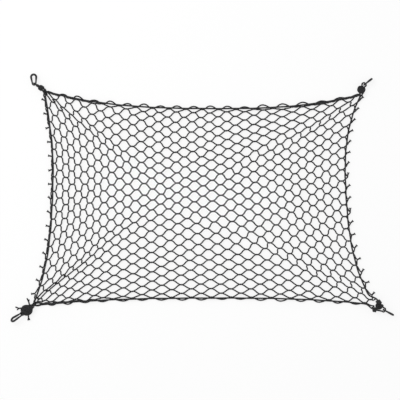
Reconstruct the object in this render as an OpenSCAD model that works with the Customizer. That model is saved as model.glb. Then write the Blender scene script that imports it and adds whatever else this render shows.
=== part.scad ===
// Cord net with a knitted mesh panel, a threaded edge cord and four corner loops.
// The net lies flat: +X to the right, +Y to the far side, +Z up, floor at z = 0.

/* [Mesh panel] */
// Width of the panel between its two top corners
panel_top_w = 790; // [600:10:1000]
// Width of the panel between its two bottom corners
panel_bottom_w = 856; // [650:10:1100]
// Height of the panel between its two left corners
panel_left_h = 537; // [400:5:700]
// Height of the panel between its two right corners
panel_right_h = 528; // [400:5:700]
// Pairs of strands, counted down the left side
strand_pairs = 10; // [6:1:11]
// Scallops along the top edge
scallops = 10; // [6:1:11]
// Thickness of one knitted strand
strand_d = 2.3; // [1.6:0.1:3]
// Width of a joint, where two strands lie side by side
joint_w = 3.2; // [2.4:0.1:4]
// Length of a joint
joint_l = 13; // [8:0.5:16]
// Height of a scallop beyond the edge cord
scallop_h = 6; // [4.5:0.5:8]
// Distance from the edge cord to the middle of a cut side joint
stub_out = 9; // [8:0.5:12]
// Length of a cut side joint
stub_l = 9; // [6:0.5:12]
// Narrowest cell that is left open, between its two joints
least_cell = 5; // [4:0.5:8]

/* [Edge cord] */
// Thickness of the edge cord
cord_d = 3.5; // [2.5:0.1:4]
// Inward sag of the top edge
sag_top = 42; // [10:1:60]
// Inward sag of the right edge
sag_right = 53; // [10:1:60]
// Inward sag of the bottom edge
sag_bottom = 18; // [5:1:40]
// Inward sag of the left edge
sag_left = 36; // [10:1:60]
// Depth of the flat that the edge cord rests on
cord_flat = 0.35; // [0.2:0.05:0.4]

/* [Corner eyes and loops] */
// Thickness of the cord in the eyes and loops
loop_d = 4; // [3:0.1:4.4]
// Outer radius of a loop at its free end, to the middle of the cord
bow_r = 6.5; // [6:0.1:8]
// Bend radius of an eye beside its bar
bend_r = 2.6; // [2.4:0.1:3]
// Reach of the top left loop, from the bar of its eye to its tip
reach_tl = 24; // [22:1:40]
// Reach of the top right loop
reach_tr = 22; // [21:1:40]
// Reach of the bottom left loop
reach_bl = 31; // [22:1:45]
// Reach of the bottom right loop
reach_br = 25; // [22:1:40]

/* [Whippings and knots] */
// Thickness of the whipping twine
twine_d = 2.4; // [2:0.1:2.6]
// Turns of a corner whipping
whip_turns = 3; // [2:1:4]
// Turns of an end knot
knot_turns = 2; // [2:1:3]
// Gap between neighbouring turns
turn_gap = 0.65; // [0.65:0.05:0.9]

/* [Hidden] */

// Colours
mesh_black = [0.09, 0.09, 0.095];
cord_black = [0.07, 0.07, 0.075];
eye_black = [0.06, 0.06, 0.065];

// Clearances
cord_gap = 0.25;      // edge cord to mesh
link_gap = 0.3;       // loop to eye
bind_gap = 0.12;      // cords lying side by side inside a whipping
cut_gap = 0.3;        // mesh to whipping
cord_tail = 0.5;      // end of an edge cord past its whipping or knot

// Radii and heights
strand_r = strand_d / 2;
joint_r = joint_w / 2;
cord_r = cord_d / 2;
loop_r = loop_d / 2;
twine_r = twine_d / 2;
z_under = cord_r - cord_flat;
net_z = z_under + cord_r + cord_gap;
z_over = net_z + strand_d + cord_gap + cord_r;
axis_z = bow_r + loop_r + link_gap;
step = twine_d + turn_gap;

// Lattice: strands run left to right, joints sit where column + row is even
S = 2 * strand_pairs;
H = 2 * scallops + 1;
edge_power = 2.8;     // how evenly the edges curve
least_mitre = 0.12;   // keeps the mitre of a sharp bend short
TL = [4 - panel_top_w / 2, panel_left_h / 2 - 2.5];
TR = [4 + panel_top_w / 2, panel_right_h / 2 - 5];
BL = [2.5 - panel_bottom_w / 2, -panel_left_h / 2 - 2.5];
BR = [2.5 + panel_bottom_w / 2, -panel_right_h / 2 - 5];

function unit(v) = v / norm(v);
function lerp(a, b, t) = a + (b - a) * t;
function bulge(t) = 1 - pow(abs(2 * t - 1), edge_power);
function flat_dir(az) = [cos(az), sin(az), 0];
function side_dir(az) = [-sin(az), cos(az), 0];
function lift(p, z) = [p[0], p[1], z];

// The four edges, each from its left or top end
function top_edge(t) = lerp(TL, TR, t) - [0, sag_top * bulge(t)];
function bottom_edge(t) = lerp(BL, BR, t) + [0, sag_bottom * bulge(t)];
function left_edge(t) = lerp(TL, BL, t) + [sag_left * bulge(t), 0];
function right_edge(t) = lerp(TR, BR, t) - [sag_right * bulge(t), 0];

// A point of the panel, from u across and v down, blended between the edges
function panel(u, v) =
    lerp(top_edge(u), bottom_edge(u), v) + lerp(left_edge(v), right_edge(v), u)
    - lerp(lerp(TL, TR, u), lerp(BL, BR, u), v);
function u_of(c) = (c - 0.5) / (H - 1);
function v_of(r) = (r - 1) / (S - 2);
function outward(u, v) = unit(panel(u, v) - panel(lerp(u, 0.5, 0.1), lerp(v, 0.5, 0.1)));
function clamp(t) = min(1, max(0, t));

// The middle of the joint in column c and row r
function joint(c, r) =
    c == 0 ? left_edge(clamp(v_of(r))) - [stub_out, 0]
    : c == H ? right_edge(clamp(v_of(r))) + [stub_out, 0]
    : r == 0 ? top_edge(u_of(c)) + [0, scallop_h]
    : r == S ? bottom_edge(u_of(c)) - [0, scallop_h]
    : panel(u_of(c), v_of(r));

// The direction of a joint, along its strands
function along(c, r) =
    c == 0 || c == H ? [1, 0]
    : unit(panel(clamp(u_of(c) + 0.02), v_of(min(S - 1, max(1, r))))
        - panel(clamp(u_of(c) - 0.02), v_of(min(S - 1, max(1, r)))));
function half_l(c) = (c == 0 || c == H ? stub_l : joint_l) / 2;
function half_w(r) = r == 0 || r == S ? strand_r : joint_r;
function end_of(c, r, side) = joint(c, r) + along(c, r) * half_l(c) * side;
function up_of(c, r) = [-along(c, r)[1], along(c, r)[0]];

// A closed loop of points moved to its left by its own distance at each point
function left_of(a, b) = [-(b - a)[1], (b - a)[0]] / norm(b - a);
function moved(pts, d) = [
    for (i = [0 : len(pts) - 1])
        let (
            n = len(pts),
            before = left_of(pts[(i + n - 1) % n], pts[i]),
            after = left_of(pts[i], pts[(i + 1) % n])
        )
        pts[i] + (before + after) * d[i] / max(least_mitre, 1 + before * after)
];

// The open cell between the joints above, right, below and left of (c, r)
function cell_open(c, r) = norm(joint(c, r - 1) - joint(c, r + 1)) > least_cell;
function cell(c, r) =
    let (
        pts = [
            end_of(c, r - 1, 1), end_of(c, r - 1, -1), end_of(c - 1, r, 1),
            end_of(c, r + 1, -1), end_of(c, r + 1, 1), end_of(c + 1, r, -1)
        ],
        above = (half_w(r - 1) + strand_r) / 2,
        below = (half_w(r + 1) + strand_r) / 2
    )
    moved(pts, [above, above, strand_r, below, below, strand_r]);

// A notch between two cut joints, at the outer end of the joint (c, r)
function notch(c, r, side) =
    let (
        at = end_of(c, r, side),
        upper = end_of(c + side, r - 1, -side),
        lower = end_of(c + side, r + 1, -side),
        a = side * left_of(upper, at),
        b = side * left_of(at, lower)
    )
    at + (a + b) * strand_r / max(least_mitre, 1 + a * b);

// The outline of the panel, clockwise from the top left
function top_side() = [
    for (c = [1 : H - 1], side = [-1, 1])
        let (r = c % 2) end_of(c, r, side) + up_of(c, r) * half_w(r)
];
function bottom_side() = [
    for (c = [H - 1 : -1 : 1], side = [1, -1])
        let (r = S - c % 2) end_of(c, r, side) - up_of(c, r) * half_w(r)
];
function right_side() = [
    for (r = [1 : 2 : S - 1])
        for (p = concat(
            [
                end_of(H, r, -1) + [0, joint_r], end_of(H, r, 1) + [0, joint_r],
                end_of(H, r, 1) - [0, joint_r], end_of(H, r, -1) - [0, joint_r]
            ],
            r < S - 1 ? [notch(H - 1, r + 1, 1)] : []
        )) p
];
function left_side() = [
    for (r = [S : -2 : 0])
        for (p = concat(
            [
                end_of(0, r, 1) - [0, half_w(r)], end_of(0, r, -1) - [0, half_w(r)],
                end_of(0, r, -1) + [0, half_w(r)], end_of(0, r, 1) + [0, half_w(r)]
            ],
            r > 0 ? [notch(1, r - 1, -1)] : []
        )) p
];

// Corners: the bar of each eye, the ways its loop and whipping point, and the loop's roll
// from standing on edge (0) to lying flat (90)
bar_at = [
    lift(TL + 34.5 * [cos(146), sin(146)], axis_z),
    lift(TR + 26 * [cos(72), sin(72)], axis_z),
    lift(BL + 33 * [cos(218), sin(218)], axis_z),
    lift(BR + 28.5 * [cos(-27), sin(-27)], axis_z)
];
bar_az = [146, 38, 213, -28];
loop_az = [94, 38, 213, -28];
whip_az = [146, 80, 213];
roll = [90, 0, 38, 0];
reach = [reach_tl, reach_tr, reach_bl, reach_br];

// Loop: an inner bow round the bar, straight limbs, and an outer bow
inner_r = 2 * loop_r + link_gap;
function bow_x(i) = reach[i] - bow_r - loop_r;
function limb_angle(i) = asin((bow_r - inner_r) / bow_x(i));
limb_in = 0.4;        // how far a limb reaches into its bows
limb_step = 0.05;     // how much thinner it is there

// Box of the four loops, which are the outermost pieces; the model is centred on it
function loop_up(i) = cos(roll[i]) * [0, 0, 1] + sin(roll[i]) * side_dir(loop_az[i]);
function loop_extent(i, k, sign) =
    let (e = flat_dir(loop_az[i]), f = loop_up(i))
    sign * (bar_at[i] + bow_x(i) * e)[k]
    + bow_r * sqrt(e[k] * e[k] + f[k] * f[k]) + loop_r;
centre = [
    for (k = [0, 1])
        (max([for (i = [0 : 3]) loop_extent(i, k, 1)])
        - max([for (i = [0 : 3]) loop_extent(i, k, -1)])) / 2
];

// Eye: half length of its bar, offset of its legs, and how far they run straight
bend_in = 4;          // degrees that a bend reaches into the bar and the leg
bar_half = loop_r + link_gap;
leg_off = bar_half + bend_r;
knee = inner_r + loop_r + link_gap;
leg_run = 9;          // from the knee to the whipping

// Whipping: two eye legs above each other, and an edge cord on each side of them
leg_z = loop_r + bind_gap / 2;
cord_side = sqrt(pow(loop_r + cord_r + bind_gap, 2) - leg_z * leg_z) + bind_gap;
whip_r = cord_side + cord_r + bind_gap + twine_r;
whip_l = whip_turns * step + twine_d;
function knee_mid(i) = bar_at[i] - knee * flat_dir(bar_az[i]);
function whip_front(i) =
    knee_mid(i) - leg_run * unit(flat_dir(whip_az[i]) + 0.3 * flat_dir(bar_az[i]));
function whip_mid(i) = whip_front(i) - whip_l / 2 * flat_dir(whip_az[i]);

// End knots at the bottom right: an eye leg below an edge cord
knot_r = loop_r + cord_r + bind_gap + twine_r;
knot_l = knot_turns * step + twine_d;
knot_at = [lift(BR + [10, 8], axis_z), lift(BR + [1, -11], axis_z)];
knot_az = [-63, -17];
knot_leg_z = axis_z - cord_r - bind_gap / 2;
knot_cord_z = axis_z + loop_r + bind_gap / 2;
eye_knot_gap = 0.45;
eye_knot_turns = 1;
eye_knot_r = loop_r + eye_knot_gap + twine_r;

// Points of a smooth bend from a to b, leaving a along from and reaching b along to
bend_steps = 6;
function bend(a, b, from, to) =
    let (d = norm(b - a) * 0.4)
    [
        for (k = [1 : bend_steps - 1])
            let (t = k / bend_steps, s = 1 - t)
            s * s * s * a + 3 * s * s * t * (a + d * from)
            + 3 * s * t * t * (b - d * to) + t * t * t * b
    ];

// Rings of a tube along a path that stays near level
cord_sides = 8;
function turn_of(path, i) =
    unit(path[min(len(path) - 1, i + 1)] - path[max(0, i - 1)]);
function rings(path, r, sides) = [
    for (i = [0 : len(path) - 1])
        let (
            t = turn_of(path, i),
            a = unit(cross([0, 0, 1], t)),
            b = cross(t, a)
        )
        [
            for (k = [0 : sides - 1])
                let (w = (k + 0.5) * 360 / sides) path[i] + r * (cos(w) * a + sin(w) * b)
        ]
];

// A closed tube of triangles through rings of points
module tube(rows) {
    n = len(rows);
    m = len(rows[0]);
    points = [for (row = rows) for (p = row) p];
    sides = [
        for (i = [0 : n - 2], k = [0 : m - 1])
            let (a = i * m + k, b = i * m + (k + 1) % m)
            for (f = [[a, b, b + m], [a, b + m, a + m]]) [f[2], f[1], f[0]]
    ];
    first = [for (k = [1 : m - 2]) [0, k, k + 1]];
    last = [for (k = [1 : m - 2]) [(n - 1) * m, (n - 1) * m + k + 1, (n - 1) * m + k]];
    polyhedron(points = points, faces = concat(sides, first, last));
}

// Height of the edge cord at crossing k of n: over and under by turns, over at both ends
function weave_z(k, n) = k % 2 == 0 || k == n - 1 ? z_over : z_under;

// Weave of an edge cord: two points at each crossing, half a flat to each side of it
function weave(points, flat, n) = [
    for (k = [0 : n - 1])
        let (
            t = unit(points[min(n - 1, k + 1)] - points[max(0, k - 1)]),
            z = weave_z(k, n)
        )
        for (side = [k == 0 ? 0 : -1, k == n - 1 ? 0 : 1])
            lift(points[k] + side * flat * t, z)
];
function row_crossings(edge) = [for (c = [1 : 2 : H - 2]) edge == 0
    ? top_edge(u_of(c)) : bottom_edge(u_of(c))];
function left_crossings() = [for (r = [2 : 2 : S - 2]) left_edge(v_of(r))];
function right_crossings() = [for (r = [3 : 2 : S - 3]) right_edge(v_of(r))];
row_flat = 0.24 * panel_top_w / scallops;
side_flat = 0.45 * panel_left_h / (S - 2);

// Where an edge cord goes at a corner: [rear of the whipping or knot, its front, its way]
function seat_in_whip(i, side) =
    let (
        w = flat_dir(whip_az[i]),
        off = side * cord_side * side_dir(whip_az[i])
    )
    [whip_mid(i) - (whip_l / 2) * w + off, whip_front(i) + cord_tail * w + off, w];
function seat_in_knot(k) =
    let (w = flat_dir(knot_az[k]), mid = lift(knot_at[k], knot_cord_z))
    [mid - knot_l / 2 * w, mid + (knot_l / 2 + cord_tail) * w, w];

// The whole path of an edge cord between two seats
function cord_path(mid, seat_a, seat_b) =
    let (
        n = len(mid),
        out_a = unit(mid[0] - mid[1]),
        out_b = unit(mid[n - 1] - mid[n - 2])
    )
    concat(
        [seat_a[1], seat_a[0]],
        [for (k = [bend_steps - 2 : -1 : 0])
            bend(mid[0], seat_a[0], out_a, seat_a[2])[k]],
        mid,
        bend(mid[n - 1], seat_b[0], out_b, seat_b[2]),
        [seat_b[0], seat_b[1]]
    );

// Rings of a winding: turns round the axis az through mid, with straight ends
turn_rings = 16;
twine_sides = 6;
function coil_at(mid, az, r, turns, w) =
    let (e = flat_dir(az), s = (w / 360 - turns / 2) * step)
    mid + s * e + r * (cos(w) * [0, 0, 1] + sin(w) * side_dir(az));
function coil_path(mid, az, r, turns) =
    let (
        n = turns * turn_rings,
        pts = [for (i = [0 : n]) coil_at(mid, az, r, turns, i * 360 / turn_rings)],
        first = -side_dir(az),
        last = side_dir(az)
    )
    concat([pts[0] + twine_d * first], pts, [pts[n] + twine_d * last]);
function coil_rings(mid, az, r, turns) =
    let (path = coil_path(mid, az, r, turns), n = len(path))
    [
        for (i = [0 : n - 1])
            let (
                w = (min(n - 3, max(0, i - 1))) * 360 / turn_rings,
                t = turn_of(path, i),
                out = cos(w) * [0, 0, 1] + sin(w) * side_dir(az),
                b = unit(cross(t, out)),
                a = cross(b, t)
            )
            [
                for (k = [0 : twine_sides - 1])
                    let (q = k * 360 / twine_sides)
                    path[i] + twine_r * (cos(q) * a + sin(q) * b)
            ]
    ];

// Least gap of a winding to itself, from the points of one turn to the next
function coil_gap(mid, az, r, turns) =
    let (p = coil_path(mid, az, r, turns), n = len(p))
    min([
        for (i = [0 : n - 1]) for (j = [i + 6 : n - 1]) norm(p[i] - p[j])
    ]) - twine_d;
echo(whipping_gap = coil_gap([0, 0, 0], 0, whip_r, whip_turns));
echo(end_knot_gap = coil_gap([0, 0, 0], 0, knot_r, knot_turns));
echo(eye_knot_gap = coil_gap([0, 0, 0], 0, eye_knot_r, eye_knot_turns));

// A round rod between two points
module rod(a, b, r) {
    d = b - a;
    translate(a) rotate([0, acos(d[2] / norm(d)), atan2(d[1], d[0])])
        cylinder(h = norm(d), r = r, $fn = 24);
}

// Part of a round ring in the XY plane, from one angle to another
module ring_part(r, tube_r, from, to) {
    rotate([0, 0, from]) rotate_extrude(angle = to - from, $fn = 28)
        translate([r, 0]) circle(r = tube_r, $fn = 24);
}

module centred() {
    translate([-centre[0], -centre[1], 0]) children();
}

// Local frame at a bar: X out, Z along the bar
module at_bar(i, az) {
    centred() translate(bar_at[i]) rotate([0, 0, az]) rotate([90 - roll[i], 0, 0])
        children();
}

module netting() {
    color(mesh_black) centred() difference() {
        translate([0, 0, net_z]) linear_extrude(height = strand_d) difference() {
            polygon(concat(top_side(), right_side(), bottom_side(), left_side()));
            for (c = [1 : H - 1], r = [1 : S - 1])
                if ((c + r) % 2 == 1 && cell_open(c, r)) polygon(cell(c, r));
        }
        for (i = [0 : 2]) let (w = flat_dir(whip_az[i]) * (whip_l / 2 + cut_gap))
            rod(whip_mid(i) - w, whip_mid(i) + 3 * w, whip_r + twine_r + cut_gap);
        for (k = [0, 1]) let (w = flat_dir(knot_az[k]) * (knot_l / 2 + cut_gap))
            rod(knot_at[k] - w, knot_at[k] + 2.5 * w, knot_r + twine_r + cut_gap);
    }
}

// An edge cord, cut flat where it rests
module edge_cord(path) {
    color(cord_black) centred() difference() {
        tube(rings(path, cord_r, cord_sides));
        translate([-panel_bottom_w, -panel_left_h, -cord_d])
            cube([2 * panel_bottom_w, 2 * panel_left_h, cord_d]);
    }
}

module edge_cord_top() {
    mid = weave(row_crossings(0), row_flat, (H - 1) / 2);
    edge_cord(cord_path(mid, seat_in_whip(0, -1), seat_in_whip(1, 1)));
}
module edge_cord_right() {
    mid = weave(right_crossings(), side_flat, S / 2 - 2);
    edge_cord(cord_path(mid, seat_in_whip(1, -1), seat_in_knot(0)));
}
module edge_cord_bottom() {
    mid = weave(row_crossings(1), row_flat, (H - 1) / 2);
    edge_cord(cord_path(mid, seat_in_whip(2, 1), seat_in_knot(1)));
}
module edge_cord_left() {
    mid = weave(left_crossings(), side_flat, S / 2 - 1);
    edge_cord(cord_path(mid, seat_in_whip(0, 1), seat_in_whip(2, -1)));
}

// The bar of an eye, its two bends and the start of its legs
module eye_head(i) {
    at_bar(i, bar_az[i]) {
        translate([0, 0, -bar_half]) cylinder(h = 2 * bar_half, r = loop_r, $fn = 24);
        for (side = [-1, 1]) {
            translate([-bend_r, 0, side * bar_half]) rotate([90, 0, 0])
                ring_part(bend_r, loop_r - limb_step, side > 0 ? -bend_in : -90 - bend_in,
                    side > 0 ? 90 + bend_in : bend_in);
            translate([-knee, 0, side * leg_off]) rotate([0, 90, 0])
                cylinder(h = knee - bend_r, r = loop_r, $fn = 24);
        }
    }
}
function knot_front(k) = lift(knot_at[k], knot_leg_z) + knot_l / 2 * flat_dir(knot_az[k]);
function eye_across(i) = -cos(roll[i]) * side_dir(bar_az[i]) + sin(roll[i]) * [0, 0, 1];
function knee_at(i, side) = knee_mid(i) + side * leg_off * eye_across(i);

// The way of an eye's leg from its knee to the end of a whipping or knot
function leg_bend(i, side, near, way) =
    bend(knee_at(i, side), near, -flat_dir(bar_az[i]), -way);
module eye_leg(i, side, near, far, way) {
    a = knee_at(i, side);
    centred() tube(rings(
        concat([a + flat_dir(bar_az[i]), a], leg_bend(i, side, near, way), [near, far]),
        loop_r - limb_step, cord_sides
    ));
}
module whipped_eye(i) {
    w = flat_dir(whip_az[i]);
    color(eye_black) {
        eye_head(i);
        for (side = [-1, 1]) let (off = [0, 0, side * leg_z])
            eye_leg(i, side, whip_front(i) + off, whip_mid(i) - whip_l / 2 * w + off, w);
    }
}
module knotted_eye(i) {
    color(eye_black) {
        eye_head(i);
        for (k = [0, 1]) let (w = flat_dir(knot_az[k]))
            eye_leg(i, k == 0 ? -1 : 1, knot_front(k), knot_front(k) - knot_l * w, w);
    }
}
module corner_eye_tl() { whipped_eye(0); }
module corner_eye_tr() { whipped_eye(1); }
module corner_eye_bl() { whipped_eye(2); }
module corner_eye_br() { knotted_eye(3); }

// A free loop of cord, closed round the bar of its eye
module corner_loop(i) {
    b = limb_angle(i);
    color([0.05, 0.05, 0.055]) at_bar(i, loop_az[i]) {
        ring_part(inner_r, loop_r, 90 + b, 270 - b);
        translate([bow_x(i), 0, 0]) ring_part(bow_r, loop_r, -90 - b, 90 + b);
        for (side = [-1, 1])
            translate([-inner_r * sin(b), side * inner_r * cos(b), 0])
                rotate([0, 0, side * b]) rotate([0, 90, 0]) translate([0, 0, -limb_in])
                    cylinder(h = bow_x(i) * cos(b) + 2 * limb_in, r = loop_r - limb_step, $fn = 24);
    }
}
module corner_loop_tl() { corner_loop(0); }
module corner_loop_tr() { corner_loop(1); }
module corner_loop_bl() { corner_loop(2); }
module corner_loop_br() { corner_loop(3); }

module winding(mid, az, r, turns) {
    color([0.1, 0.1, 0.105]) centred() tube(coil_rings(mid, az, r, turns));
}
module corner_whipping_tl() { winding(whip_mid(0), whip_az[0], whip_r, whip_turns); }
module corner_whipping_tr() { winding(whip_mid(1), whip_az[1], whip_r, whip_turns); }
module corner_whipping_bl() { winding(whip_mid(2), whip_az[2], whip_r, whip_turns); }
module end_knot_right() { winding(knot_at[0], knot_az[0], knot_r, knot_turns); }
module end_knot_bottom() { winding(knot_at[1], knot_az[1], knot_r, knot_turns); }

// A small knot on the upper leg of the bottom right eye
module eye_knot_br() {
    leg = leg_bend(3, -1, knot_front(0), flat_dir(knot_az[0]));
    way = leg[1] - leg[3];
    winding(leg[2], atan2(way[1], way[0]), eye_knot_r, eye_knot_turns);
}

netting();
edge_cord_top();
edge_cord_right();
edge_cord_bottom();
edge_cord_left();
corner_eye_tl();
corner_eye_tr();
corner_eye_bl();
corner_eye_br();
corner_loop_tl();
corner_loop_tr();
corner_loop_bl();
corner_loop_br();
corner_whipping_tl();
corner_whipping_tr();
corner_whipping_bl();
end_knot_right();
end_knot_bottom();
eye_knot_br();
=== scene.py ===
# %% [markdown]
# # A cord net with corner loops
#
# The object is a flat knitted net of black twine, about 0.96 m by 0.62 m. A braided cord is
# threaded round its four edges, and each corner ends in an eye with a loose loop of thicker
# cord linked through it. This lesson dresses the solid model of that net, piece by piece.
#
# The solid model is loaded first. It never moves: every piece made below is put where the
# solid it stands for already is, and rides on the same body, so that the loops can swing.

# %% Load the solid model
import math

import bpy
import numpy as np
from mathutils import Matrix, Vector


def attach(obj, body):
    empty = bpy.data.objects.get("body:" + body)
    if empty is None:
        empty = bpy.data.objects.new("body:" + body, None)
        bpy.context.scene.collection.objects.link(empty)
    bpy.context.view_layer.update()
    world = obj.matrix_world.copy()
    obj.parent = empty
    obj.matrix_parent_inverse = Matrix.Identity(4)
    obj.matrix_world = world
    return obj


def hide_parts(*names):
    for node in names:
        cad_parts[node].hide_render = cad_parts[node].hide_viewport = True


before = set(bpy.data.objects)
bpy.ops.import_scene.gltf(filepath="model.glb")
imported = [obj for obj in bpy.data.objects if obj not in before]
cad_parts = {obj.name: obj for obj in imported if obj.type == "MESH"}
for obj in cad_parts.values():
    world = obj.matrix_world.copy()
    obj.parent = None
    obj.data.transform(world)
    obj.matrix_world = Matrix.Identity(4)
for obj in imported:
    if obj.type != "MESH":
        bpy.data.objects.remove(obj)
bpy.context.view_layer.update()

bpy.ops.object.select_all(action="DESELECT")

# %% [markdown]
# ## Camera
#
# The net is seen straight from above. A perspective camera a few metres up gives the same
# view as a photograph taken from a step ladder: the frame is one metre wide at the net, and
# its middle lies a few millimetres left of and below the middle of the net.

# %% Look straight down
MM = 0.001
FRAME_WIDTH = 1.0
CAMERA_HEIGHT = 2.6
FRAME_MIDDLE = (-5.5 * MM, -5.5 * MM)
NET_Z = 4.55
SENSOR_WIDTH = 36.0

camera_place = (*FRAME_MIDDLE, CAMERA_HEIGHT + NET_Z * MM)
bpy.ops.object.camera_add(location=camera_place, rotation=(0, 0, 0))
camera = bpy.context.object
camera.name = "camera_above"
camera.data.sensor_width = SENSOR_WIDTH
camera.data.lens = SENSOR_WIDTH * CAMERA_HEIGHT / FRAME_WIDTH
bpy.context.scene.camera = camera
print("lens, mm:", round(camera.data.lens, 1))

# %% [markdown]
# ## Light and floor
#
# Black twine shows its shape only where light grazes it, so the light is soft and comes from
# all round: an even white sky, and one wide lamp that gives the threads a bright side. The
# floor is white paper. Seen by the camera it is mostly plain white, with a small share of
# real shading, so that the cords still leave a faint shadow where they lie.

# %% A soft sky and one wide lamp
SKY_STRENGTH = 0.75
bpy.context.scene.view_settings.view_transform = "Standard"


def add_node(tree, kind, **settings):
    """A new shader node, with its settings given by name."""
    made = tree.nodes.new(kind)
    for key, value in settings.items():
        setattr(made, key, value)
    return made


def math_node(tree, operation, *values):
    """A Math node whose inputs are numbers or other nodes' outputs."""
    made = add_node(tree, "ShaderNodeMath", operation=operation)
    for socket, value in zip(made.inputs, values):
        if isinstance(value, (int, float)):
            socket.default_value = value
        else:
            tree.links.new(value, socket)
    return made.outputs[0]


def seen_directly(tree):
    """1 for rays from the camera or by way of gloss or glass, 0 for light on the object."""
    path = add_node(tree, "ShaderNodeLightPath")
    seen = path.outputs["Is Camera Ray"]
    for way in ("Is Glossy Ray", "Is Transmission Ray"):
        seen = math_node(tree, "MAXIMUM", seen, path.outputs[way])
    return seen


world = bpy.data.worlds.new("white_sky")
bpy.context.scene.world = world
world.use_nodes = True
sky = world.node_tree.nodes["Background"]
sky.inputs["Color"].default_value = (1, 1, 1, 1)
lift_sky = math_node(world.node_tree, "MULTIPLY", seen_directly(world.node_tree), 1 - SKY_STRENGTH)
sky_level = math_node(world.node_tree, "ADD", lift_sky, SKY_STRENGTH)
world.node_tree.links.new(sky_level, sky.inputs["Strength"])

LAMP_PLACE = Vector((-1.6, 1.3, 2.4))
LAMP_WIDTH, LAMP_DEPTH = 2.0, 1.6
LAMP_POWER = 38
bpy.ops.object.light_add(type="AREA", location=LAMP_PLACE)
lamp = bpy.context.object
lamp.name = "wide_lamp"
lamp.data.shape = "RECTANGLE"
lamp.data.size = LAMP_WIDTH
lamp.data.size_y = LAMP_DEPTH
lamp.data.energy = LAMP_POWER
lamp.rotation_euler = (-LAMP_PLACE).to_track_quat("-Z", "Y").to_euler()
print("lamp, W:", lamp.data.energy)

# %% White paper floor
FLOOR_SIZE = 14.0
PLAIN_SHARE = 0.8

bpy.ops.object.select_all(action="DESELECT")
bpy.ops.mesh.primitive_plane_add(size=FLOOR_SIZE, location=(0, 0, 0))
floor = bpy.context.object
floor.name = "floor"
paper = bpy.data.materials.new("white_paper")
paper.use_nodes = True
tree = paper.node_tree
lit = tree.nodes["Principled BSDF"]
lit.inputs["Base Color"].default_value = (0.93, 0.93, 0.93, 1)
lit.inputs["Roughness"].default_value = 0.9
glow = add_node(tree, "ShaderNodeEmission")
share = math_node(tree, "MULTIPLY", seen_directly(tree), PLAIN_SHARE)
blend = add_node(tree, "ShaderNodeMixShader")
tree.links.new(share, blend.inputs[0])
tree.links.new(lit.outputs[0], blend.inputs[1])
tree.links.new(glow.outputs[0], blend.inputs[2])
tree.links.new(blend.outputs[0], tree.nodes["Material Output"].inputs["Surface"])
floor.data.materials.append(paper)
print("floor, m:", tuple(round(v, 1) for v in floor.dimensions))

# %% [markdown]
# ## Two patterns for cord: braid and knit
#
# Up close the edge cord is a braid: strands cross each other in small diamonds. The net's
# twine is knitted: a chain of V-shaped stitches. Both patterns follow the cord round its
# bends, so they read the UV map that each tube gets: U runs once round the cord, and V is
# the length along it in metres. Each pattern is a node group that gives out a height and a
# fibre noise, and the materials decide what to do with them.

# %% Pattern groups
FIBRES_PER_METRE = 2600


def new_group(name, inputs):
    """An empty node group with number inputs, and the outputs Height and Fibre."""
    group = bpy.data.node_groups.new(name, "ShaderNodeTree")
    for label, value in inputs:
        socket = group.interface.new_socket(label, in_out="INPUT", socket_type="NodeSocketFloat")
        socket.default_value = value
    for label in ("Height", "Fibre"):
        group.interface.new_socket(label, in_out="OUTPUT", socket_type="NodeSocketFloat")
    start = add_node(group, "NodeGroupInput")
    end = add_node(group, "NodeGroupOutput")
    return group, start, end


def round_and_along(group):
    """The U and V of the surface as two outputs."""
    place = add_node(group, "ShaderNodeUVMap", uv_map="cord_uv")
    split = add_node(group, "ShaderNodeSeparateXYZ")
    group.links.new(place.outputs["UV"], split.inputs[0])
    return split.outputs[0], split.outputs[1]


def fibre_noise(group, end):
    """Fine uneven fibres, a few tenths of a millimetre apart."""
    place = add_node(group, "ShaderNodeTexCoord")
    noise = add_node(group, "ShaderNodeTexNoise")
    noise.inputs["Scale"].default_value = FIBRES_PER_METRE
    noise.inputs["Detail"].default_value = 3
    group.links.new(place.outputs["Object"], noise.inputs["Vector"])
    group.links.new(noise.outputs["Fac"], end.inputs["Fibre"])


def waves(group, value, count):
    """cos(2 pi value count), a row of waves."""
    turns = math_node(group, "MULTIPLY", value, count)
    return math_node(group, "COSINE", math_node(group, "MULTIPLY", turns, 2 * math.pi))


braid, start, end = new_group("braid", [("Strands round", 6.0), ("Diamonds per metre", 420.0)])
around, along = round_and_along(braid)
crossing = math_node(braid, "SUBTRACT", waves(braid, around, start.outputs["Strands round"]),
                     waves(braid, along, start.outputs["Diamonds per metre"]))
half = math_node(braid, "MULTIPLY", math_node(braid, "ABSOLUTE", crossing), 0.5)
braid.links.new(half, end.inputs["Height"])
fibre_noise(braid, end)

knit, start, end = new_group("knit", [("Wales round", 3.0), ("Stitches per metre", 480.0)])
around, along = round_and_along(knit)
wale = math_node(knit, "MULTIPLY", around, start.outputs["Wales round"])
within = math_node(knit, "FRACT", wale)
slope = math_node(knit, "ABSOLUTE", math_node(knit, "SUBTRACT", within, 0.5))
stitch = math_node(knit, "ADD", math_node(knit, "MULTIPLY", along,
                                          start.outputs["Stitches per metre"]), slope)
wave = waves(knit, stitch, 1.0)
edge = math_node(knit, "MULTIPLY_ADD", slope, -0.9, 1.0)
raised = math_node(knit, "MULTIPLY", math_node(knit, "MULTIPLY_ADD", wave, 0.5, 0.5), edge)
knit.links.new(raised, end.inputs["Height"])
fibre_noise(knit, end)
print("pattern groups:", [g.name for g in bpy.data.node_groups])

# %% [markdown]
# ## Black cord materials
#
# Black synthetic cord is never quite black. The tops of the strands are painted a little
# greyer than the grooves between them, a painted highlight on the crowns and painted shade in
# the grooves. Fine fibres stand off the surface and catch light, and handling leaves patches
# that are duller. One function makes each cord's material from a pattern group and its own
# colours. The constants sit on the shader's own sockets.

# %% Cord materials
PATCHES_PER_METRE = 45


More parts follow.
